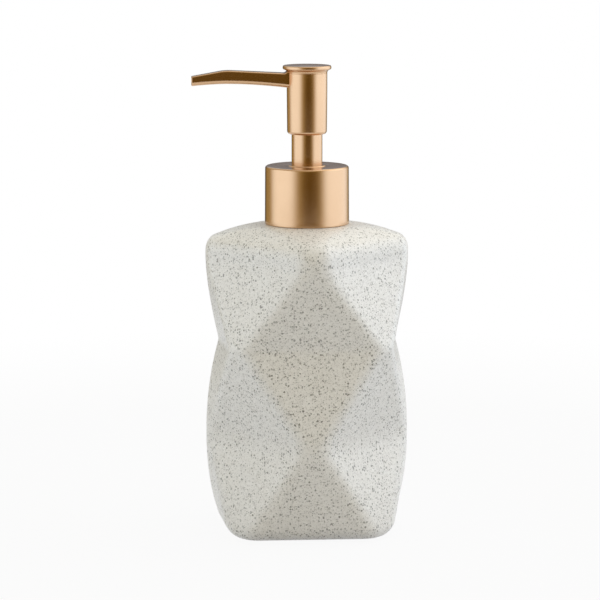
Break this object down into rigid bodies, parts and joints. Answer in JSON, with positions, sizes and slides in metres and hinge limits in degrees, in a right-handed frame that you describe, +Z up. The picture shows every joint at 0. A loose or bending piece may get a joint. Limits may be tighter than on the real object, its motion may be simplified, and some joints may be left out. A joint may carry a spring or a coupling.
{
  "type": "soap pump dispenser",
  "caption": "Faceted stone-look soap bottle with a metal-clad lotion pump, its head pressing and swivelling, its collar unscrewing.",
  "frame": {"origin": "centre of the face the bottle stands on, on the pump's axis", "axes": "+Z up along the pump's axis; the spout points along -X; -Y is the flat front of the waist."},
  "size_m": [0.0838, 0.0784, 0.181],
  "materials": {
    "stone": "matt warm off-white with fine dark specks",
    "gold": "satin champagne gold plating",
    "white_plastic": "moulded",
    "clear_plastic": "milky translucent",
    "pad": "soft grey foam",
    "steel": "bright drawn"
  },
  "bodies": {
    "container": {"bottle": "stone", "base_pad": "pad", "neck_insert": "white_plastic"},
    "pump": {"neck_gasket": "white_plastic", "pump_housing": "white_plastic", "closure_clip": "white_plastic", "guide_bush": "white_plastic", "ball_cage": "white_plastic", "dip_tube": "clear_plastic", "return_spring": "steel"},
    "collar": {"screw_cap": "white_plastic", "collar_shell": "gold", "collar_bush": "gold"},
    "piston": {"piston_seal": "clear_plastic", "piston_rod": "white_plastic"},
    "head": {"stem": "white_plastic", "actuator_core": "white_plastic", "stem_sleeve": "gold", "head_shell": "gold", "head_cap": "gold", "nozzle_shell": "gold", "nozzle_liner": "clear_plastic"},
    "intake_valve": {"intake_ball": "steel"},
    "outlet_valve": {"outlet_ball": "steel"}
  },
  "joints": [
    {"name": "pump_lift", "type": "slide", "parent": "container", "child": "pump", "axis": [0, 0, 1], "range_m": [0, 0.004]},
    {"name": "collar_unscrew", "type": "hinge", "parent": "pump", "child": "collar", "pos_m": [0, 0, 0.13], "axis": [0, 0, 1], "range_deg": [0, 450]},
    {"name": "pump_press", "type": "slide", "parent": "pump", "child": "piston", "axis": [0, 0, -1], "range_m": [0, 0.0115], "stiffness_N_per_m": 300, "springref_m": -0.008, "deforming": ["return_spring"]},
    {"name": "head_swivel", "type": "hinge", "parent": "piston", "child": "head", "pos_m": [0, 0, 0.165], "axis": [0, 0, 1], "continuous": true},
    {"name": "intake_ball_lift", "type": "slide", "parent": "pump", "child": "intake_valve", "axis": [0, 0, 1], "range_m": [0, 0.0015]},
    {"name": "outlet_ball_lift", "type": "slide", "parent": "head", "child": "outlet_valve", "axis": [0, 0, 1], "range_m": [0, 0.001]}
  ],
  "couplings": [
    {"joint": "pump_lift", "follows": "collar_unscrew", "m_per_rad": 0.00050532}
  ]
}
